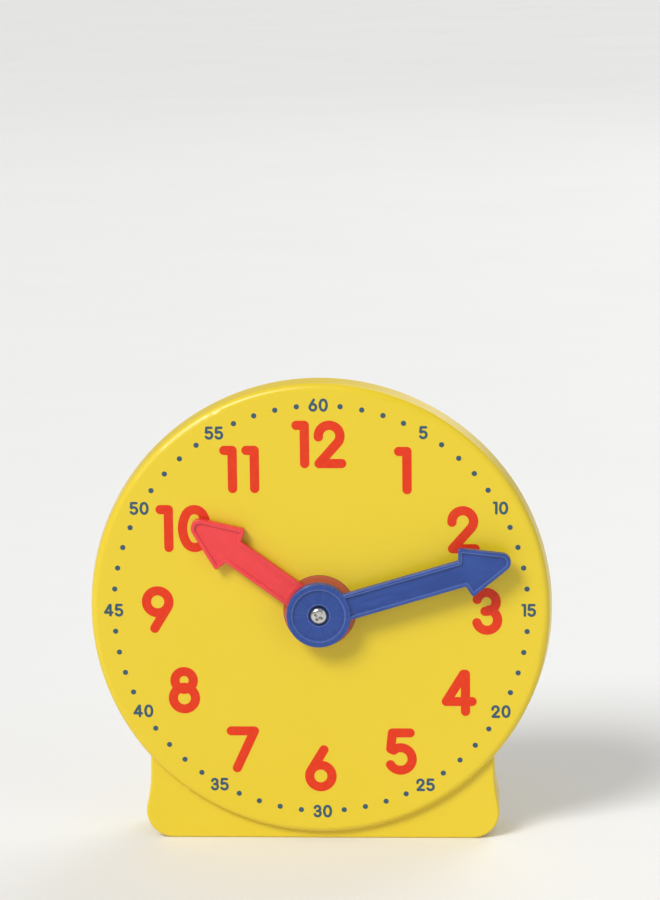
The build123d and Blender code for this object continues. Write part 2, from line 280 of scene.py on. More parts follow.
@dataclass(frozen=True)
class Loop:
    """A closed stroke through bows that run smoothly into each other."""

    bows: tuple[Bow, ...]

    @classmethod
    def ring(cls, centre: Point, radius: float) -> "Loop":
        """Gives a full circle."""
        return cls((Bow(centre, radius, 0, 360),))

    @classmethod
    def oval(cls, half_width: float, half_height: float, end_radius: float) -> "Loop":
        """Gives an upright oval round the origin.

        Args:
            half_width: Half its width, at the middle of the stroke.
            half_height: Half its height, at the middle of the stroke.
            end_radius: The radius of its upper and lower bows.

        Returns:
            The oval, whose side bows touch the end bows where they meet them.
        """
        end = half_height - end_radius
        excess = half_width - end_radius
        side = (end**2 - excess**2) / (2 * excess)
        meet = math.degrees(math.atan2(end, side))
        return cls(
            (
                Bow((-side, 0), side + half_width, -meet, 2 * meet),
                Bow((0, end), end_radius, meet, 180 - 2 * meet),
                Bow((side, 0), side + half_width, 180 - meet, 2 * meet),
                Bow((0, -end), end_radius, 180 + meet, 180 - 2 * meet),
            )
        )

    def draw(self, shape: BMesh, pen: "Pen") -> None:
        """Sweeps the pen's section all the way round."""
        pen.swept(shape, self.bows, closed=True)


Stroke = Bar | Bow | Loop


@dataclass(frozen=True)
class Pen:
    """A round-ended pen that draws strokes as solids one unit thick."""

    width: float
    round_segments: int = 32
    bow_step: float = 7.5
    fewest_steps: int = 2
    weld: float = 0.01

    def dot(self, shape: BMesh, place: Point, turn: float = 0) -> None:
        """Draws a round dot at a place, with its corners turned by an angle in degrees.

        Args:
            shape: The bmesh that the dot goes into.
            place: Its middle.
            turn: The angle.
        """
        middle = Matrix.Translation((place[0], place[1], 0.5)) @ Matrix.Rotation(math.radians(turn), 4, "Z")
        bmesh.ops.create_cone(
            shape,
            cap_ends=True,
            segments=self.round_segments,
            radius1=self.width / 2,
            radius2=self.width / 2,
            depth=1,
            matrix=middle,
        )

    def swept(self, shape: BMesh, bows: tuple[Bow, ...], closed: bool = False) -> None:
        """Sweeps the pen's rectangular section along bows, and closes it on itself or at its two ends.

        Args:
            shape: The bmesh that the stroke goes into.
            bows: The bows in order, each of which starts where the last one ends.
            closed: Whether the last bow ends where the first one starts.
        """
        others = set(shape.verts)
        first = bows[0]
        up = Vector((0, 0, 1))
        outwards = Matrix.Rotation(math.radians(first.start), 3, "Z") @ Vector((1, 0, 0))
        inner = Vector((*first.centre, 0)) + outwards * (first.radius - self.width / 2)
        outer = inner + outwards * self.width
        corners = [shape.verts.new(corner) for corner in (inner, outer, outer + up, inner + up)]
        section = [shape.edges.new((corners[i - 1], corners[i])) for i in range(len(corners))]
        moving: list[bmesh.types.BMVert | bmesh.types.BMEdge] = corners + section
        for bow in bows:
            moving = bmesh.ops.spin(
                shape,
                geom=moving,
                cent=(*bow.centre, 0),
                axis=up,
                angle=math.radians(bow.sweep),
                steps=max(self.fewest_steps, round(abs(bow.sweep) / self.bow_step)),
            )["geom_last"]
        drawn = [vertex for vertex in shape.verts if vertex not in others]
        if closed:
            bmesh.ops.remove_doubles(shape, verts=drawn, dist=self.weld)
        else:
            ends = {edge for vertex in drawn for edge in vertex.link_edges if edge.is_boundary}
            bmesh.ops.holes_fill(shape, edges=list(ends), sides=len(corners))


# Each digit's strokes from its middle, in millimetres at the size of the hour numbers
GLYPHS: dict[str, tuple[Stroke, ...]] = {
    "0": (Loop.oval(2.65, 4.22, 2.1),),
    "1": (Bar((-0.885, 4.22), (0.885, 4.22)), Bar((0.885, 4.22), (0.885, -4.22))),
    "2": (
        Bow((-0.15, 1.87), 2.35, 185, -225, round_end=False),
        Bar((1.65, 0.36), (-2.4, -4.22)),
        Bar((-2.4, -4.22), (2.5, -4.22)),
    ),
    "3": (
        Bow((0, 2.12), 2.1, 165, -255, round_end=False),
        Bar((0, 0.02), (-0.35, 0.02)),
        Bow((0.1, -1.92), 2.3, 80, -245),
    ),
    "4": (
        Bar((1.1, 4.2), (-2.7, -1.95)),
        Bar((-2.7, -1.95), (2.95, -1.95)),
        Bar((1.5, 4.2), (1.5, -4.2)),
    ),
    "5": (
        Bar((2.2, 4.22), (-1.7, 4.22)),
        Bar((-1.7, 4.22), (-2.1, 0.6)),
        Bar((-2.1, 0.6), (-1.42, 0.27)),
        Bow((0.05, -1.7), 2.56, 125, -275),
    ),
    "6": (Loop.ring((0, -1.72), 2.47), Bar((0.75, 4.25), (-2.11, -0.43))),
    "7": (Bar((-2.6, 4.2), (2.5, 4.2)), Bar((2.5, 4.2), (-1.4, -4.2))),
    "8": (Loop.ring((0, 2.2), 2.02), Loop.ring((0, -1.78), 2.44)),
    "9": (Loop.ring((0, 1.72), 2.47), Bar((-0.75, -4.25), (2.11, 0.43))),
}


@dataclass
class DialPrint:
    """The numbers and marks printed on the dial, as thin films of ink on its face."""

    dial: DialFrame
    hour_ink: Material
    minute_ink: Material
    stroke_width: float = 2.05
    digit_gap: float = 1.0
    label_radius: float = 45.5
    label_scale: float = 0.276
    dot_radius: float = 45.4
    dot_size: float = 1.16
    dot_segments: int = 24
    film_bottom: float = -0.01
    film_top: float = 0.03
    label_shift: Point = (0.15, 0.15)
    digits: dict[str, Mesh] = field(default_factory=dict)
    hour_places: ClassVar[dict[str, Point]] = {
        "1": (18.4, 31.2),
        "2": (31.5, 18.1),
        "3": (36.6, -0.1),
        "4": (30.4, -18.4),
        "5": (17.6, -31.7),
        "6": (-0.2, -35.6),
        "7": (-17.3, -31.3),
        "8": (-30.1, -17.9),
        "9": (-35.6, 0.3),
        "10": (-29.6, 18.4),
        "11": (-17.2, 31.5),
        "12": (0.2, 37.0),
    }

    def build(self) -> list[Object]:
        """Prints the hour numbers, the minute labels and the dots between them.

        Returns:
            The three printed pieces.
        """
        self.cut_digits()
        labelled = range(LABEL_EVERY, MINUTES + 1, LABEL_EVERY)
        labels = {str(minute): self.around(minute, self.label_radius) for minute in labelled}
        return [
            self.printed("hour_numerals", self.numbers(self.hour_places, 1), self.hour_ink),
            self.printed("minute_labels", self.numbers(labels, self.label_scale), self.minute_ink),
            self.printed("minute_dots", self.dots(), self.minute_ink),
        ]

    def around(self, minute: int, radius: float) -> Point:
        """Gives the place of a minute, clockwise from the top, with the print's shift on the dial."""
        turn = math.radians(MINUTE_ANGLE * minute)
        return (radius * math.sin(turn) + self.label_shift[0], radius * math.cos(turn) + self.label_shift[1])

    def cut_digits(self) -> None:
        """Draws each digit once, with its overlapping strokes united."""
        pen = Pen(self.stroke_width)
        for digit, strokes in GLYPHS.items():
            first, rest = bmesh.new(), bmesh.new()
            strokes[0].draw(first, pen)
            for stroke in strokes[1:]:
                stroke.draw(rest, pen)
            base, tool = mesh_from(first, digit), mesh_from(rest, digit)
            self.digits[digit] = combined(base, tool, "UNION") if len(strokes) > 1 else base

    def extent(self, digit: str) -> tuple[float, float]:
        """Gives a digit's left and right ends."""
        across = [vertex.co.x for vertex in self.digits[digit].vertices]
        return (min(across), max(across))

    def numbers(self, places: dict[str, Point], scale: float) -> BMesh:
        """Sets upright numbers, each centred on its place.

        Args:
            places: The numbers and where each of them goes.
            scale: Their size, as a share of the drawn digits.

        Returns:
            A bmesh in dial millimetres, one unit thick.
        """
        shape = bmesh.new()
        for number, (x, y) in places.items():
            extents = [self.extent(digit) for digit in number]
            width = sum(right - left for left, right in extents) + self.digit_gap * (len(number) - 1)
            pen_x = -width / 2
            for digit, (left, right) in zip(number, extents):
                spot = Matrix.Translation((x + scale * (pen_x - left), y, 0))
                add_placed(shape, self.digits[digit], spot @ Matrix.Diagonal((scale, scale, 1, 1)))
                pen_x += right - left + self.digit_gap
        return shape

    def dots(self) -> BMesh:
        """Sets a dot on each minute that has no label.

        Returns:
            A bmesh in dial millimetres, one unit thick.
        """
        pen = Pen(self.dot_size, self.dot_segments)
        shape = bmesh.new()
        for minute in range(MINUTES):
            if minute % LABEL_EVERY:
                pen.dot(shape, self.around(minute, self.dot_radius))
        return shape

    def printed(
        self, name: str, shape: BMesh, ink: Material
    ) -> Object:
        """Flattens a shape to the ink's thickness and lays it on the dial.

        Args:
            name: The piece's name.
            shape: Its shape in dial millimetres, one unit thick.
            ink: Its finish.

        Returns:
            The printed piece.
        """
        film = Matrix.Translation((0, 0, self.film_bottom))
        film @= Matrix.Diagonal((1, 1, self.film_top - self.film_bottom, 1))
        shape.transform(self.dial.to_row() @ film)
        return fit_out(name, mesh_from(shape, name), ink, Body.CASE)


# Screws
@dataclass(frozen=True)
class PanScrew:
    """A pan-head self-tapping screw along z, with its head's seat at z = 0, in millimetres."""

    head_radius: float
    head_height: float
    core_radius: float
    thread_radius: float
    length: float
    pitch: float
    recess_span: float
    recess_width: float
    recess_depth: float
    tip_length: float = 1.2
    tip_share: float = 0.25
    crown: float = 0.2
    crown_span: float = 0.55
    crown_fall: float = 0.25
    edge_share: float = 0.45
    edge_segments: int = 6
    round_steps: int = 64
    thread_steps: int = 24
    thread_root: float = 0.97
    thread_flank: float = 0.2
    recess_taper: float = 0.6
    cone_segments: int = 24
    cone_reach: float = 1.1
    weld: float = 1e-4

    def build(self) -> Mesh:
        """Turns the body, cuts the recess and adds the thread.

        Returns:
            The screw's mesh, in millimetres.
        """
        body = combined(self.turned_body(), self.recess(), "DIFFERENCE")
        whole = bmesh.new()
        whole.from_mesh(body)
        bpy.data.meshes.remove(body)
        self.add_thread(whole)
        return mesh_from(whole, "pan_screw")

    def turned_body(self) -> Mesh:
        """Spins the profile of the head, the core and the tip, with the head's outer edge rounded.

        Returns:
            The mesh of the body, without recess or thread.
        """
        shape = bmesh.new()
        shoulder = self.head_height - self.crown
        profile = [
            (0, self.head_height),
            (self.head_radius * self.crown_span, self.head_height - self.crown * self.crown_fall),
            (self.head_radius, shoulder),
            (self.head_radius, 0),
            (self.core_radius, 0),
            (self.core_radius, self.tip_length - self.length),
            (self.core_radius * self.tip_share, -self.length),
            (0, -self.length),
        ]
        corners = [shape.verts.new((radius, 0, height)) for radius, height in profile]
        for near, far in zip(corners, corners[1:]):
            shape.edges.new((near, far))
        bmesh.ops.bevel(
            shape,
            geom=[corners[2]],
            offset=self.head_height * self.edge_share,
            segments=self.edge_segments,
            profile=0.5,
            affect="VERTICES",
            material=-1,
        )
        bmesh.ops.spin(
            shape,
            geom=shape.verts[:] + shape.edges[:],
            cent=(0, 0, 0),
            axis=(0, 0, 1),
            angle=FULL_TURN,
            steps=self.round_steps,
            use_merge=True,
        )
        bmesh.ops.remove_doubles(shape, verts=shape.verts[:], dist=self.weld)
        return mesh_from(shape, "screw_body")

    def recess(self) -> Mesh:
        """Makes the cross that is cut into the head: two tapered blades and a cone between them.

        Returns:
            The mesh that the cut takes away.
        """
        shape = bmesh.new()
        height = 2 * self.recess_depth
        for turn in (0, 90):
            blade = bmesh.ops.create_cube(shape, size=1)["verts"]
            bmesh.ops.scale(shape, vec=(self.recess_span, self.recess_width, height), verts=blade)
            low = [vertex for vertex in blade if vertex.co.z < 0]
            bmesh.ops.scale(shape, vec=(self.recess_taper, self.recess_taper, 1), verts=low)
            bmesh.ops.rotate(shape, matrix=Matrix.Rotation(math.radians(turn), 3, "Z"), verts=blade)
        bmesh.ops.create_cone(
            shape,
            cap_ends=True,
            segments=self.cone_segments,
            radius1=self.recess_width / 2,
            radius2=self.recess_width,
            depth=height * self.cone_reach,
        )
        bmesh.ops.translate(shape, vec=(0, 0, self.head_height), verts=shape.verts[:])
        return mesh_from(shape, "recess")

    def add_thread(self, shape: BMesh) -> None:
        """Winds a sharp ridge round the core, from under the head to the tip.

        Args:
            shape: The bmesh of the screw, which the ridge is added to.
        """
        start = -self.pitch
        turns = (self.length - self.tip_length - self.pitch) / self.pitch
        foot = self.core_radius * self.thread_root
        flank = self.thread_flank * self.pitch
        ridge = [(foot, start + flank), (self.thread_radius, start), (foot, start - flank)]
        corners = [shape.verts.new((radius, 0, height)) for radius, height in ridge]
        section = [shape.edges.new((corners[i - 1], corners[i])) for i in range(len(corners))]
        before = set(shape.edges) - set(section)
        steps = round(turns * self.thread_steps)
        bmesh.ops.spin(
            shape,
            geom=corners + section,
            cent=(0, 0, 0),
            axis=(0, 0, 1),
            dvec=(0, 0, -self.pitch / self.thread_steps),
            angle=FULL_TURN * steps / self.thread_steps,
            steps=steps,
        )
        ends = [edge for edge in set(shape.edges) - before if edge.is_boundary]
        bmesh.ops.holes_fill(shape, edges=ends, sides=len(corners))


@dataclass
class Screws:
    """The hand screw in the hub and the four screws in the wells of the back."""

    dial: DialFrame
    steel: Material
    sharp_angle: float = math.radians(35)
    hub_turn: float = -28
    first_well_turn: float = 15
    well_turn_step: float = 37
    wells: ClassVar[str] = "shell_screws"
    hub: ClassVar[str] = "hand_screw"

    def build(self) -> list[Object]:
        """Makes both kinds of screw where their nodes are.

        Returns:
            The pieces that stand for the two nodes.
        """
        return [self.hand_screw(), self.shell_screws()]

    def hand_screw(self) -> Object:
        """Makes the screw that holds the minute hand, with its head to the front.

        Returns:
            The piece that stands for the hand screw's node.
        """
        low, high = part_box(self.hub)
        screw = PanScrew(
            head_radius=(high.x - low.x) / 2 / MM,
            head_height=1.6,
            core_radius=0.9,
            thread_radius=1.12,
            length=5.5,
            pitch=0.8,
            recess_span=2.6,
            recess_width=0.8,
            recess_depth=1.2,
        )
        top = self.dial.depth(low.y)
        spot = Matrix.Translation((0, 0, top - screw.head_height))
        turned = spot @ Matrix.Rotation(math.radians(self.hub_turn), 4, "Z")
        shape = bmesh.new()
        add_placed(shape, screw.build(), self.dial.to_row() @ turned)
        return self.placed(self.hub, shape, Body.MINUTE)

    def shell_screws(self) -> Object:
        """Makes the four screws that hold the shells together, with their heads to the back.

        Returns:
            The piece that stands for the shell screws' node.
        """
        low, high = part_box(self.wells)
        screw = PanScrew(
            head_radius=2.4,
            head_height=1.7,
            core_radius=1.0,
            thread_radius=1.3,
            length=8.0,
            pitch=1.0,
            recess_span=3.0,
            recess_width=0.8,
            recess_depth=1.1,
        )
        mesh = screw.build()
        seat = self.dial.depth(high.y) + screw.head_height
        inset = screw.head_radius
        across = high.x / MM - inset
        hub = self.dial.hub_height
        heights = ((high.z - hub) / MM - inset, (low.z - hub) / MM + inset)
        shape = bmesh.new()
        turn = self.first_well_turn
        for x in (-across, across):
            for y in heights:
                spot = Matrix.Translation((x, y, seat)) @ Matrix.Rotation(math.pi, 4, "X")
                turned = spot @ Matrix.Rotation(math.radians(turn), 4, "Z")
                add_placed(shape, mesh, self.dial.to_row() @ turned)
                turn += self.well_turn_step
        return self.placed(self.wells, shape, Body.CASE)

    def placed(self, node: str, shape: BMesh, body: Body) -> Object:
        """Makes the piece that stands for a screw node, smooth except on its sharp edges.

        Args:
            node: The node's name.
            shape: The screws in the row's frame.
            body: The body that they move with.

        Returns:
            The finished piece.
        """
        mesh = mesh_from(shape, node)
        mesh.shade_smooth()
        mesh.set_sharp_from_angle(angle=self.sharp_angle)
        piece = fit_out(f"{node}_cut", mesh, self.steel, body)
        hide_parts(node)
        return piece


# Shader nodes
class Graph:
    """A node tree under construction."""

    def __init__(self, tree: bpy.types.NodeTree) -> None:
        """Keeps the tree that nodes are added to."""
        self.tree = tree

    def add(
        self, kind: str, inputs: dict[str | int, Setting] | None = None, **settings: object
    ) -> bpy.types.Node:
        """Adds a node.

        Args:
            kind: The node's type name.
            inputs: What goes into its sockets: another node's socket, or a plain value.
            settings: Its own properties.

        Returns:
            The new node.
        """
        node = self.tree.nodes.new(kind)
        for name, value in settings.items():
            setattr(node, name, value)
        for name, value in (inputs or {}).items():
            if isinstance(value, Socket):
                self.tree.links.new(value, node.inputs[name])
            else:
                node.inputs[name].default_value = value
        return node

    def noise(self, vector: Setting, scale: Setting, detail: float = 3, roughness: float = 0.55) -> Socket:
        """Adds a noise texture and gives its value."""
        inputs = {"Vector": vector, "Scale": scale, "Detail": detail, "Roughness": roughness}
        return self.add("ShaderNodeTexNoise", inputs).outputs[0]

    def math(
        self, operation: str, first: Setting, second: Setting = 0.0, third: Setting = 0.0, clamp: bool = True
    ) -> Socket:
        """Adds a sum, product or other operation on numbers and gives its result.

        Args:
            operation: Blender's name for it.
            first: The first number.
            second: The second number.
            third: The third number, for the operations that take one.
            clamp: Whether the result is kept between 0 and 1.

        Returns:
            The result's socket.
        """
        inputs = {0: first, 1: second, 2: third}
        return self.add("ShaderNodeMath", inputs, operation=operation, use_clamp=clamp).outputs[0]

    def spread(
        self, value: Setting, low: float, high: float, to_low: Setting = 0.0, to_high: Setting = 1.0
    ) -> Socket:
        """Adds a node that spreads a part of a value's range over another range."""
        inputs = {"Value": value, "From Min": low, "From Max": high, "To Min": to_low, "To Max": to_high}
        return self.add("ShaderNodeMapRange", inputs).outputs[0]

    def stretched(self, vector: Setting, scale: Triple, turn: Triple) -> Socket:
        """Adds a mapping that turns and stretches a pattern."""
        inputs = {"Vector": vector, "Scale": scale, "Rotation": turn}
        return self.add("ShaderNodeMapping", inputs).outputs[0]

    def blend(self, mask: Setting, first: Setting, second: Setting) -> Socket:
        """Adds a mix of two colours and gives its colour."""
        inputs = dict(zip(MIX_INPUTS, (mask, first, second)))
        return self.add("ShaderNodeMix", inputs, data_type="RGBA").outputs[MIX_RESULT]


class Effect:
    """A shader node group that more than one finish uses."""

    def __init__(self, name: str, inputs: dict[str, SocketKind], outputs: dict[str, SocketKind]) -> None:
        """Makes an empty group with named sockets.

        Args:
            name: The group's name.
            inputs: The names and kinds of what goes in.
            outputs: The names and kinds of what comes out.
        """
        self.tree = bpy.data.node_groups.new(name, "ShaderNodeTree")
        for in_out, sockets in (("INPUT", inputs), ("OUTPUT", outputs)):
            for socket, kind in sockets.items():
                self.tree.interface.new_socket(name=socket, in_out=in_out, socket_type=kind.value)
        self.graph = Graph(self.tree)
        self.given = self.tree.nodes.new("NodeGroupInput").outputs
        self.result = self.tree.nodes.new("NodeGroupOutput").inputs

    def give(self, name: str, value: Socket) -> None:
        """Joins a socket to one of the group's outputs."""
        self.tree.links.new(value, self.result[name])

    def place(self, graph: Graph, inputs: dict[str, Setting]) -> bpy.types.NodeOutputs:
        """Puts the group into a material with its own values and gives its outputs."""
        return graph.add("ShaderNodeGroup", inputs, node_tree=self.tree).outputs


class MouldedGrain(Effect):
    """The height of a moulded surface: a fine grain from the tool on slow waves from shrinkage."""

    slow_share: float = 0.75

    def __init__(self) -> None:
        """Builds the group."""
        super().__init__(
            "moulded_grain",
            {"Vector": SocketKind.VECTOR, "Grain": SocketKind.VALUE, "Waves": SocketKind.VALUE},
            {"Height": SocketKind.VALUE},
        )
        fine = self.graph.noise(self.given["Vector"], self.given["Grain"], detail=4, roughness=0.6)
        slow = self.graph.noise(self.given["Vector"], self.given["Waves"], detail=1)
        slow_part = self.graph.math("MULTIPLY", slow, self.slow_share)
        self.give("Height", self.graph.math("MULTIPLY_ADD", fine, 1 - self.slow_share, slow_part))


class HandlingWear(Effect):
    """Colour and gloss that change where hands have touched a surface, with hairline scratches."""

    cloud_range: Point = (0.3, 0.8)
    scratch_range: Point = (0.7, 0.8)
    scratch_runs: tuple[tuple[Triple, Triple], ...] = (
        ((3200, 3200, 70), (0.5, 0.4, 0.2)),
        ((70, 3000, 3000), (0.3, 0.9, 0.7)),
    )
    speckles_per_patch: float = 55
    speckle_range: Point = (0.3, 0.7)
    cloud_tint: float = 0.7
    speckle_tint: float = 0.5
    scratch_tint: float = 0.5
    dulling: float = 0.6

    def __init__(self) -> None:
        """Builds the group."""
        super().__init__(
            "handling_wear",
            {
                "Vector": SocketKind.VECTOR,
                "Clean": SocketKind.COLOUR,
                "Worn": SocketKind.COLOUR,
                "Patches": SocketKind.VALUE,
                "Amount": SocketKind.VALUE,
                "Glossy": SocketKind.VALUE,
                "Dull": SocketKind.VALUE,
            },
            {"Color": SocketKind.COLOUR, "Roughness": SocketKind.VALUE},
        )
        graph = self.graph
        place = self.given["Vector"]
        cloud = graph.spread(graph.noise(place, self.given["Patches"], detail=1.5), *self.cloud_range)
        masks = []
        for scale, turn in self.scratch_runs:
            streaks = graph.noise(graph.stretched(place, scale, turn), 1.0, detail=1)
            masks.append(graph.spread(streaks, *self.scratch_range))
        scratches = graph.math("MULTIPLY", graph.math("MAXIMUM", *masks), cloud)
        speckle_scale = graph.math("MULTIPLY", self.given["Patches"], self.speckles_per_patch, clamp=False)
        speckle = graph.spread(graph.noise(place, speckle_scale, detail=2), *self.speckle_range)
        clouded = graph.math("MULTIPLY", cloud, self.cloud_tint)
        mottled = graph.math("MULTIPLY_ADD", speckle, self.speckle_tint, clouded)
        marked = graph.math("MULTIPLY_ADD", scratches, self.scratch_tint, mottled)
        worn = graph.math("MULTIPLY", marked, self.given["Amount"])
        self.give("Color", graph.blend(worn, self.given["Clean"], self.given["Worn"]))
        hazed = graph.math("MULTIPLY", cloud, self.dulling)
        dulled = graph.math("MULTIPLY_ADD", scratches, self.dulling, hazed)
        self.give("Roughness", graph.spread(dulled, 0, 1, self.given["Glossy"], self.given["Dull"]))


class EdgeRub(Effect):
    """A mask of the edges, where a surface is rubbed and where a painted highlight is laid on."""

    samples: int = 6
    turned_away: Point = (0.995, 0.88)

    def __init__(self) -> None:
        """Builds the group."""
        super().__init__("edge_rub_and_highlight", {"Radius": SocketKind.VALUE}, {"Mask": SocketKind.VALUE})
        rounded = self.graph.add("ShaderNodeBevel", {"Radius": self.given["Radius"]}, samples=self.samples)
        plain = self.graph.add("ShaderNodeNewGeometry").outputs["Normal"]
        normals = {0: rounded.outputs[0], 1: plain}
        facing = self.graph.add("ShaderNodeVectorMath", normals, operation="DOT_PRODUCT")
        # The mask carries both rubbed wear and a painted highlight along the edges
        self.give("Mask", self.graph.spread(facing.outputs["Value"], *self.turned_away))


class FlowMarks(Effect):
    """A mask of the streaks that run out from a moulding's gate, at the hub, along its length."""

    streaks: Triple = (9, 130, 1)
    streak_range: Point = (0.4, 0.72)

    def __init__(self) -> None:
        """Builds the group."""
        super().__init__(
            "flow_marks",
            {"Vector": SocketKind.VECTOR, "Hub Height": SocketKind.VALUE},
            {"Mask": SocketKind.VALUE},
        )
        graph = self.graph
        across, _, height = graph.add("ShaderNodeSeparateXYZ", {0: self.given["Vector"]}).outputs
        above = graph.math("SUBTRACT", height, self.given["Hub Height"], clamp=False)
        angle = graph.math("ARCTAN2", above, across, clamp=False)
        square = graph.math("MULTIPLY", across, across, clamp=False)
        squares = graph.math("MULTIPLY_ADD", above, above, square, clamp=False)
        radius = graph.math("SQRT", squares, clamp=False)
        fan = graph.add("ShaderNodeCombineXYZ", {0: angle, 1: radius}).outputs[0]
        wide = graph.stretched(fan, self.streaks, (0, 0, 0))
        self.give("Mask", graph.spread(graph.noise(wide, 1.0, detail=3), *self.streak_range))


class InkCoverage(Effect):
    """Ink that lies a little unevenly: its density and its gloss change, with a few pinholes."""

    clouds: float = 900
    cloud_range: Point = (0.35, 0.8)
    pinholes: float = 5200
    pinhole_range: Point = (0.74, 0.8)
    cloud_thinning: float = 0.35
    pinhole_thinning: float = 0.6
    roughness: Point = (0.4, 0.55)

    def __init__(self) -> None:
        """Builds the group."""
        super().__init__(
            "ink_coverage",
            {"Vector": SocketKind.VECTOR, "Ink": SocketKind.COLOUR, "Thin": SocketKind.COLOUR},
            {"Color": SocketKind.COLOUR, "Roughness": SocketKind.VALUE, "Height": SocketKind.VALUE},
        )
        graph = self.graph
        place = self.given["Vector"]
        cloud = graph.spread(graph.noise(place, self.clouds, detail=4), *self.cloud_range)
        holes = graph.spread(graph.noise(place, self.pinholes, detail=1), *self.pinhole_range)
        holed = graph.math("MULTIPLY", holes, self.pinhole_thinning)
        thin = graph.math("MULTIPLY_ADD", cloud, self.cloud_thinning, holed)
        self.give("Color", graph.blend(thin, self.given["Ink"], self.given["Thin"]))
        self.give("Roughness", graph.spread(cloud, 0, 1, *self.roughness))
        self.give("Height", cloud)


@dataclass(frozen=True)
class Effects:
    """The shared node groups, built once."""

    grain: MouldedGrain
    wear: HandlingWear
    edges: EdgeRub
    flow: FlowMarks
    ink: InkCoverage

    @classmethod
    def built(cls) -> "Effects":
        """Builds every group."""
        return cls(MouldedGrain(), HandlingWear(), EdgeRub(), FlowMarks(), InkCoverage())


def new_material(name: str) -> tuple[Material, Graph, bpy.types.Node, Socket]:
    """Starts a material on a principled shader.

    Args:
        name: The material's name.

    Returns:
        The material, its graph, its shader and its object coordinates.
    """
    material = bpy.data.materials.new(name)
    material.use_nodes = True
    graph = Graph(material.node_tree)
    shader = material.node_tree.nodes["Principled BSDF"]
    coordinates = graph.add("ShaderNodeTexCoord").outputs["Object"]
    return material, graph, shader, coordinates


def handled(
    effects: Effects, graph: Graph, place: Socket, finish: "MouldedPlastic | PlatedSteel"
) -> tuple[bpy.types.NodeOutputs, Socket]:
    """Places the wear and the grain of a finish in its material.

    Args:
        effects: The shared effects.
        graph: The material's graph.
        place: Its object coordinates.
        finish: The finish, with its colours, gloss and scales.

    Returns:
        The wear's outputs and the grain's height.
    """
    wear = effects.wear.place(
        graph,
        {
            "Vector": place,
            "Clean": finish.clean,
            "Worn": finish.worn,
            "Patches": finish.patches,
            "Amount": finish.amount,
            "Glossy": finish.glossy,
            "Dull": finish.dull,
        },
    )
    grain = effects.grain.place(graph, {"Vector": place, "Grain": finish.grain, "Waves": finish.waves})
    return wear, grain["Height"]


def join_up(
    graph: Graph,
    shader: bpy.types.Node,
    colour: Socket,
    roughness: Socket,
    height: Socket,
    finish: "MouldedPlastic | PrintedInk | PlatedSteel",
) -> None:
    """Joins a finish's colour, roughness and bumped height to its shader.

    Args:
        graph: The material's graph.
        shader: Its principled shader.
        colour: The colour.
        roughness: The roughness.
        height: The height that the bump is made from.
        finish: The finish, with the bump's strength and depth.
    """
    inputs = {"Strength": finish.bump, "Distance": finish.bump_depth, "Height": height}
    bumped = graph.add("ShaderNodeBump", inputs)
    for socket, value in (("Base Color", colour), ("Roughness", roughness), ("Normal", bumped.outputs[0])):
        graph.tree.links.new(value, shader.inputs[socket])


# Finishes
@dataclass(frozen=True)
class MouldedPlastic:
    """Coloured moulded plastic with a fine grain, light handling marks, and rubbed edges that also carry a
    painted highlight.
    """

    name: str
    clean: Colour
    worn: Colour
    # The edges' colour: partly rubbed wear, partly a painted highlight
    edge: Colour
    glossy: float = 0.285
    dull: float = 0.43
    amount: float = 0.3
    edge_amount: float = 0.35
    edge_radius: float = 0.35 * MM
    grain: float = 2600
    waves: float = 160
    patches: float = 45
    bump: float = 0.12
    bump_depth: float = 0.06 * MM
    specular: float = 0.5

    def material(self, effects: Effects) -> Material:
        """Builds the material from the shared effects.

        Args:
            effects: The shared effects.

        Returns:
            The material.
        """
        material, graph, shader, place = new_material(self.name)
        wear, height = handled(effects, graph, place, self)
        rubbed_and_lit = effects.edges.place(graph, {"Radius": self.edge_radius})["Mask"]
        tinted = self.tinted(effects, graph, place, wear["Color"])
        # Painted highlight: edges blend towards a lighter colour, partly rubbed wear and partly light caught
        # on the rims
        colour = graph.blend(graph.math("MULTIPLY", rubbed_and_lit, self.edge_amount), tinted, self.edge)
        join_up(graph, shader, colour, wear["Roughness"], height, self)
        shader.inputs["Specular IOR Level"].default_value = self.specular
        return material

    def tinted(
        self, effects: Effects, graph: Graph, place: Socket, colour: Socket
    ) -> Socket:
        """Gives the colour before the edges are rubbed and given their painted highlight; plain mouldings
        leave it as it is.
        """
        return colour


@dataclass(frozen=True)
class HandPlastic(MouldedPlastic):
    """Plastic moulded from a gate at the hub, with a painted shade, warmed by painted yellow light bounced
    off the dial, on its part down at the dial.
    """

    streak: Colour = (1, 1, 1, 1)
    streak_amount: float = 0.3
    # The painted shade down at the dial, with the dial's yellow bounce light in it
    sunk: Colour = (1, 1, 1, 1)
    sunk_below: float = 0.35 * MM
    sunk_fade: float = 0.2 * MM

    def tinted(
        self, effects: Effects, graph: Graph, place: Socket, colour: Socket
    ) -> Socket:
        """Adds the streaks of the flow, and a painted shade, warmed by painted yellow light bounced off the
        dial, on what lies down at the dial.

        Args:
            effects: The shared effects.
            graph: The material's graph.
            place: Its object coordinates.
            colour: The colour so far.

        Returns:
            The streaked colour, with its painted shade down at the dial.
        """
        dial = DialFrame.from_case()
        flow = effects.flow.place(graph, {"Vector": place, "Hub Height": dial.hub_height})["Mask"]
        streaked = graph.blend(graph.math("MULTIPLY", flow, self.streak_amount), colour, self.streak)
        depth = graph.add("ShaderNodeSeparateXYZ", {0: place}).outputs["Y"]
        level = dial.face - self.sunk_below
        # Painted shade: below the dial's face the colour fades to a darker orange-brown for shade and yellow
        # bounce light
        return graph.blend(graph.spread(depth, level - self.sunk_fade, level), streaked, self.sunk)


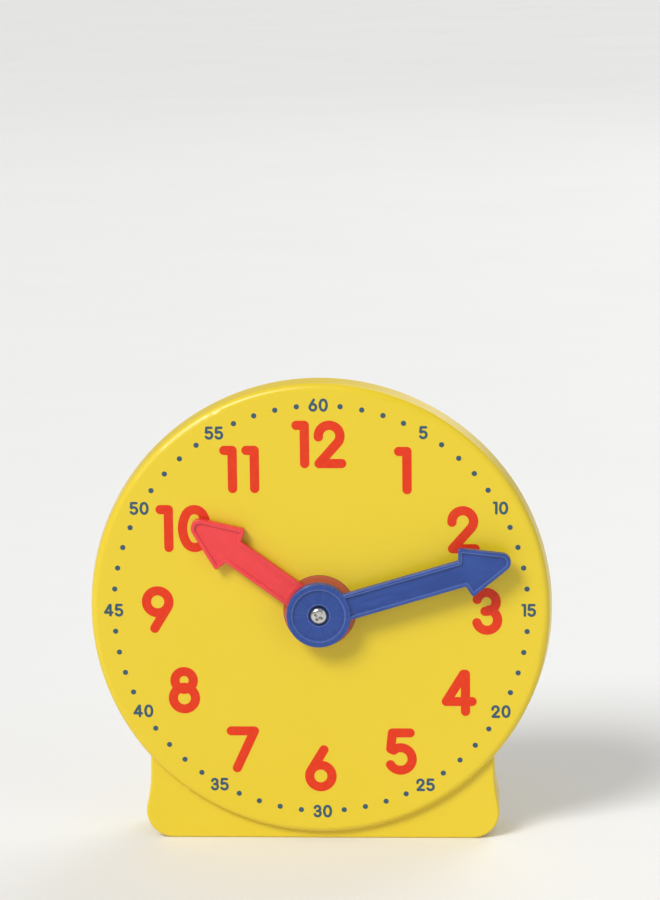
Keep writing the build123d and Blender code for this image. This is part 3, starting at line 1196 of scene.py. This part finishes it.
@dataclass(frozen=True)
class PrintedInk:
    """Ink printed on the dial, through which a little of the plastic's colour shows."""

    name: str
    ink: Colour
    thin: Colour
    bump: float = 0.15
    bump_depth: float = 0.02 * MM
    specular: float = 0.3

    def material(self, effects: Effects) -> Material:
        """Builds the material from the shared effects.

        Args:
            effects: The shared effects.

        Returns:
            The material.
        """
        material, graph, shader, place = new_material(self.name)
        film = effects.ink.place(graph, {"Vector": place, "Ink": self.ink, "Thin": self.thin})
        join_up(graph, shader, film["Color"], film["Roughness"], film["Height"], self)
        shader.inputs["Specular IOR Level"].default_value = self.specular
        return material


@dataclass(frozen=True)
class PlatedSteel:
    """Bright zinc-plated steel with small scratches."""

    name: str = "zinc_plated_steel"
    clean: Colour = (0.66, 0.65, 0.62, 1)
    worn: Colour = (0.4, 0.39, 0.37, 1)
    glossy: float = 0.15
    dull: float = 0.265
    patches: float = 700
    amount: float = 0.6
    grain: float = 5200
    waves: float = 900
    bump: float = 0.25
    bump_depth: float = 0.03 * MM

    def material(self, effects: Effects) -> Material:
        """Builds the material from the shared effects.

        Args:
            effects: The shared effects.

        Returns:
            The material.
        """
        material, graph, shader, place = new_material(self.name)
        wear, height = handled(effects, graph, place, self)
        join_up(graph, shader, wear["Color"], wear["Roughness"], height, self)
        shader.inputs["Metallic"].default_value = 1.0
        return material


# Each finish's edge colour is lighter: partly rubbed wear, partly a painted highlight on the edges
CASE_YELLOW = MouldedPlastic(
    name="yellow_polystyrene",
    clean=(0.715, 0.525, 0.014, 1),
    worn=(0.74, 0.56, 0.035, 1),
    edge=(0.86, 0.7, 0.13, 1),
)
HAND_RED = HandPlastic(
    name="red_polystyrene",
    clean=(0.72, 0.03, 0.037, 1),
    worn=(0.77, 0.06, 0.066, 1),
    edge=(0.86, 0.15, 0.14, 1),
    streak=(0.8, 0.065, 0.073, 1),
    # Painted shade with yellow bounce light on the hub disc down at the dial
    sunk=(0.5, 0.125, 0.045, 1),
)
HAND_BLUE = HandPlastic(
    name="blue_polystyrene",
    clean=(0.006, 0.04, 0.22, 1),
    worn=(0.018, 0.06, 0.28, 1),
    edge=(0.15, 0.24, 0.6, 1),
    edge_amount=0.6,
    edge_radius=0.45 * MM,
    streak=(0.035, 0.092, 0.38, 1),
    streak_amount=0.4,
    sunk=(0.006, 0.04, 0.22, 1),
)
GEAR_WHITE = MouldedPlastic(
    name="white_acetal",
    clean=(0.83, 0.82, 0.77, 1),
    worn=(0.74, 0.72, 0.66, 1),
    edge=(0.9, 0.89, 0.86, 1),
    glossy=0.34,
    dull=0.5,
)
WASHER_BLACK = MouldedPlastic(
    name="black_rubber",
    clean=(0.025, 0.025, 0.026, 1),
    worn=(0.06, 0.058, 0.055, 1),
    edge=(0.09, 0.088, 0.085, 1),
    glossy=0.6,
    dull=0.85,
    bump=0.4,
    specular=0.3,
)
HOUR_INK = PrintedInk("red_print", ink=(0.67, 0.026, 0.003, 1), thin=(0.7, 0.08, 0.008, 1))
MINUTE_INK = PrintedInk("slate_blue_print", ink=(0.027, 0.08, 0.13, 1), thin=(0.08, 0.125, 0.11, 1))


@dataclass
class Mouldings:
    """The case, the hands and the gear train, whose solids are shown as they were made."""

    effects: Effects
    finishes: ClassVar[dict[str, MouldedPlastic | PlatedSteel]] = {
        "front_shell": CASE_YELLOW,
        "back_shell": CASE_YELLOW,
        "hour_hand": HAND_RED,
        "minute_hand": HAND_BLUE,
        "hour_wheel": GEAR_WHITE,
        "minute_arbor": GEAR_WHITE,
        "intermediate_gear": GEAR_WHITE,
        "intermediate_axle": PlatedSteel(),
        "friction_washer": WASHER_BLACK,
    }

    def dress(self) -> dict[str, Material]:
        """Gives each node its finish.

        Returns:
            The materials by name.
        """
        made: dict[str, Material] = {}
        for node, finish in self.finishes.items():
            if finish.name not in made:
                made[finish.name] = finish.material(self.effects)
            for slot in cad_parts[node].material_slots:
                slot.material = made[finish.name]
            LOG.info("%s: %s", node, finish.name)
        return made


# Studio
class LampKind(Enum):
    """The kinds of lamp: a square box near by, and a wide light from far away, even over the floor."""

    SOFTBOX = "AREA"
    SKYLIGHT = "SUN"


@dataclass(frozen=True)
class Lamp:
    """A soft light that faces a point; a box's breadth is in metres, a skylight's in degrees."""

    name: str
    kind: LampKind
    place: Triple
    breadth: float
    power: float

    def build(self, target: Vector) -> None:
        """Hangs the lamp out of the camera's sight.

        Args:
            target: The point that it faces.
        """
        lamp = bpy.data.lights.new(self.name, self.kind.value)
        if self.kind is LampKind.SOFTBOX:
            lamp.size = self.breadth
        else:
            lamp.angle = math.radians(self.breadth)
        lamp.energy = self.power
        hung = link(self.name, lamp)
        hung.location = self.place
        hung.rotation_euler = (target - Vector(self.place)).to_track_quat("-Z", "Y").to_euler()
        hung.visible_camera = False


@dataclass
class Studio:
    """A pale floor, soft lights and the camera at the photograph's angle."""

    target: Vector
    floor_size: float = 20
    floor_pale: Colour = (0.86, 0.86, 0.85, 1)
    floor_mark: Colour = (0.83, 0.83, 0.82, 1)
    floor_clouds: float = 6
    floor_range: Point = (0.35, 0.7)
    floor_roughness: Point = (0.55, 0.65)
    sky_light: float = 0.42
    sky_seen: float = 0.8
    camera_distance: float = 0.767
    camera_azimuth: float = 3.2
    camera_elevation: float = 12.7
    axis_yaw: float = 3.0
    axis_pitch: float = 10.07
    roll: float = -0.63
    lens: float = 140
    lamps: tuple[Lamp, ...] = (
        Lamp("key", LampKind.SKYLIGHT, place=(-1.0, -1.5, 1.6), breadth=22, power=2.0),
        Lamp("rear", LampKind.SKYLIGHT, place=(0.8, 1.5, 1.4), breadth=45, power=0.6),
        Lamp("window", LampKind.SOFTBOX, place=(-1.3, -1.2, 1.3), breadth=0.9, power=7),
        Lamp("fill", LampKind.SOFTBOX, place=(1.4, -1.3, 0.7), breadth=1.0, power=3),
        Lamp("back_fill", LampKind.SOFTBOX, place=(0.8, 1.5, 0.9), breadth=1.0, power=2.5),
    )

    def build(self) -> None:
        """Sets up the floor, the light and the camera."""
        self.lay_floor()
        self.light()
        self.aim_camera()
        bpy.context.scene.view_settings.view_transform = "Standard"

    def lay_floor(self) -> None:
        """Lays the floor and gives it a plain pale finish with faint marks."""
        shape = bmesh.new()
        bmesh.ops.create_grid(shape, x_segments=1, y_segments=1, size=self.floor_size / 2)
        floor = link("floor", mesh_from(shape, "floor"))
        material, graph, shader, place = new_material("pale_floor")
        cloud = graph.spread(graph.noise(place, self.floor_clouds, detail=4), *self.floor_range)
        colour = graph.blend(cloud, self.floor_pale, self.floor_mark)
        roughness = graph.spread(cloud, 0, 1, *self.floor_roughness)
        graph.tree.links.new(colour, shader.inputs["Base Color"])
        graph.tree.links.new(roughness, shader.inputs["Roughness"])
        floor.data.materials.append(material)

    def light(self) -> None:
        """Hangs the lamps and sets an even pale sky, which is seen a little brighter than it lights."""
        for lamp in self.lamps:
            lamp.build(self.target)
        world = bpy.data.worlds.new("pale_studio")
        world.use_nodes = True
        graph = Graph(world.node_tree)
        seen = graph.add("ShaderNodeLightPath").outputs["Is Camera Ray"]
        strength = graph.spread(seen, 0, 1, self.sky_light, self.sky_seen)
        background = world.node_tree.nodes["Background"].inputs
        background["Color"].default_value = (1, 1, 1, 1)
        graph.tree.links.new(strength, background["Strength"])
        bpy.context.scene.world = world

    def aim_camera(self) -> None:
        """Stands the camera in front of the dial, a little above it."""
        azimuth, elevation = math.radians(self.camera_azimuth), math.radians(self.camera_elevation)
        yaw, pitch = math.radians(self.axis_yaw), math.radians(self.axis_pitch)
        away = Vector(
            (
                math.sin(azimuth) * math.cos(elevation),
                -math.cos(azimuth) * math.cos(elevation),
                math.sin(elevation),
            )
        )
        forward = Vector(
            (-math.sin(yaw) * math.cos(pitch), math.cos(yaw) * math.cos(pitch), -math.sin(pitch))
        )
        data = bpy.data.cameras.new("camera")
        data.lens = self.lens
        camera = link("camera", data)
        camera.location = self.target + away * self.camera_distance
        rolled = Quaternion((0, 0, 1), math.radians(self.roll))
        camera.rotation_euler = (forward.to_track_quat("-Z", "Y") @ rolled).to_euler()
        bpy.context.scene.camera = camera


def main() -> None:
    """Builds the clock's pieces in order, and the studio round them."""
    logging.basicConfig(level=logging.INFO, format="%(name)s %(message)s")
    dial = DialFrame.from_case()
    effects = Effects.built()
    finishes = Mouldings(effects).dress()
    DialPrint(dial, HOUR_INK.material(effects), MINUTE_INK.material(effects)).build()
    Screws(dial, finishes[PlatedSteel.name]).build()
    Studio(Vector((0, dial.face, dial.hub_height))).build()


if __name__ == "__main__":
    main()
